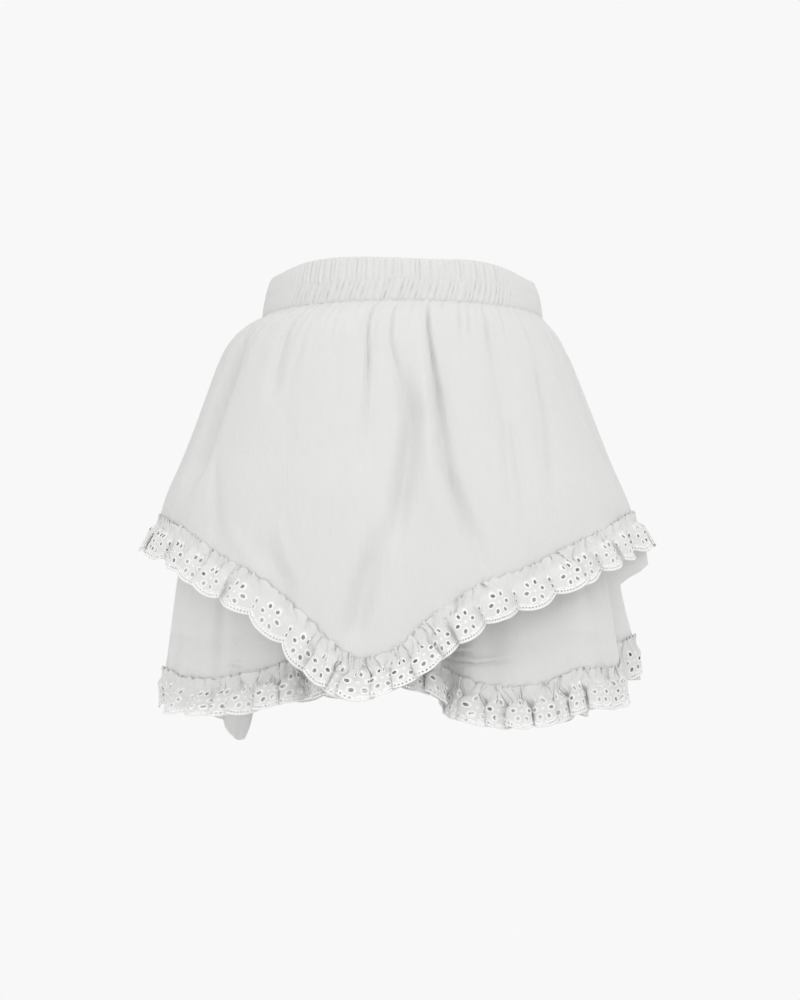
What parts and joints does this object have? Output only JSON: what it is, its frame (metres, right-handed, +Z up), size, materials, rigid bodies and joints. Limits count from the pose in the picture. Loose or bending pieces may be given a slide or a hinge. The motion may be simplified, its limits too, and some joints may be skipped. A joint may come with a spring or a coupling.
{
  "type": "tiered ruffle skirt",
  "caption": "Short white skirt of two gathered tiers with dipping hems, each edged with gathered eyelet lace, on a ruched elastic waistband.",
  "frame": {"origin": "centre of the waist, at half the height of the waistband", "axes": "+Z up out of the waist, -Y towards the front of the wearer, +X towards the right of a person looking at the front, across the skirt's longest extent"},
  "size_m": [0.4534, 0.359, 0.4183],
  "materials": {
    "cotton": "matt, lightly crinkled white cotton",
    "lace": "matt white cotton eyelet lace with raised embroidery"
  },
  "bodies": {
    "root": {"waistband_front": "cotton", "waistband_back": "cotton", "upper_tier_front": "cotton", "upper_tier_back": "cotton", "upper_lace_front": "lace", "upper_lace_back": "lace", "lower_tier_front": "cotton", "lower_tier_back": "cotton", "lower_lace_front": "lace", "lower_lace_back": "lace"}
  },
  "joints": []
}
